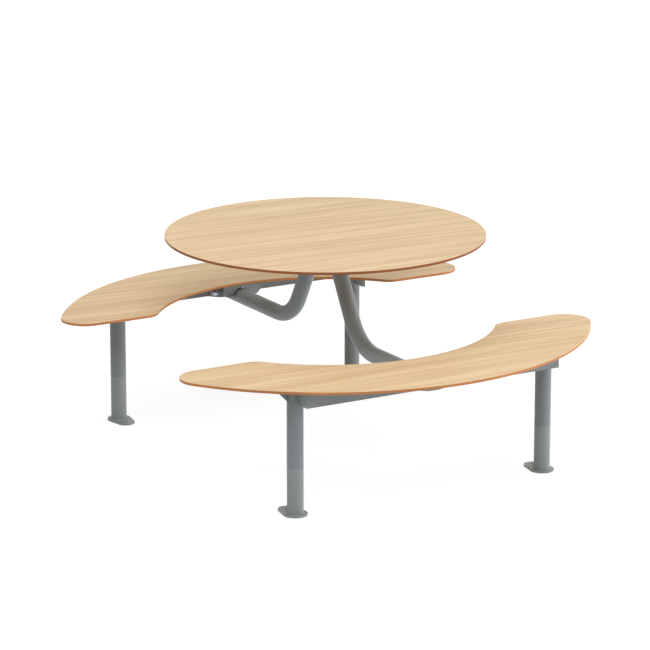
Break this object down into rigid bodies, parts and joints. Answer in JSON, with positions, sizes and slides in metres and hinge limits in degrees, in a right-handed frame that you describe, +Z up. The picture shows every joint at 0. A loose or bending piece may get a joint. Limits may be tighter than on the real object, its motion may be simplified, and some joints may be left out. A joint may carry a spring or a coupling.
{
  "type": "round table with attached benches",
  "caption": "Round table top on bent tube arms, joined to curved benches on a floor-fixed steel frame with upright round legs and foot plates.",
  "frame": {"origin": "on the floor under the middle of the table top", "axes": "+X along the benches, +Y from the front bench to the rear bench, +Z up"},
  "size_m": [1.5774, 1.824, 0.755],
  "materials": {
    "board": "satin",
    "frame_paint": "satin",
    "zinc": "bright zinc"
  },
  "bodies": {
    "root": {"tabletop": "board", "bench_board_front": "board", "bench_board_rear": "board", "bench_rail_front": "frame_paint", "bench_rail_rear": "frame_paint", "leg_tube_front_left": "frame_paint", "leg_tube_front_right": "frame_paint", "leg_tube_rear_left": "frame_paint", "leg_tube_rear_right": "frame_paint", "leg_cap_front_left": "frame_paint", "leg_cap_front_right": "frame_paint", "leg_cap_rear_left": "frame_paint", "leg_cap_rear_right": "frame_paint", "outer_fin_front_left": "frame_paint", "outer_fin_front_right": "frame_paint", "outer_fin_rear_left": "frame_paint", "outer_fin_rear_right": "frame_paint", "inner_fin_front_left": "frame_paint", "inner_fin_front_right": "frame_paint", "inner_fin_rear_left": "frame_paint", "inner_fin_rear_right": "frame_paint", "gusset_front_left": "frame_paint", "gusset_front_right": "frame_paint", "gusset_rear_left": "frame_paint", "gusset_rear_right": "frame_paint", "foot_post_front_left": "frame_paint", "foot_post_front_right": "frame_paint", "foot_post_rear_left": "frame_paint", "foot_post_rear_right": "frame_paint", "foot_plate_front_left": "frame_paint", "foot_plate_front_right": "frame_paint", "foot_plate_rear_left": "frame_paint", "foot_plate_rear_right": "frame_paint", "arm_front": "frame_paint", "arm_rear": "frame_paint", "arm_head_plate_front": "frame_paint", "arm_head_plate_rear": "frame_paint", "arm_end_plate_front": "frame_paint", "arm_end_plate_rear": "frame_paint", "arm_saddle_front": "frame_paint", "arm_saddle_rear": "frame_paint", "rail_studs_front": "zinc", "rail_studs_rear": "zinc", "stud_washers_front": "zinc", "stud_washers_rear": "zinc", "stud_nuts_front": "zinc", "stud_nuts_rear": "zinc", "tabletop_screws": "zinc", "bench_screws_front": "zinc", "bench_screws_rear": "zinc"}
  },
  "joints": []
}
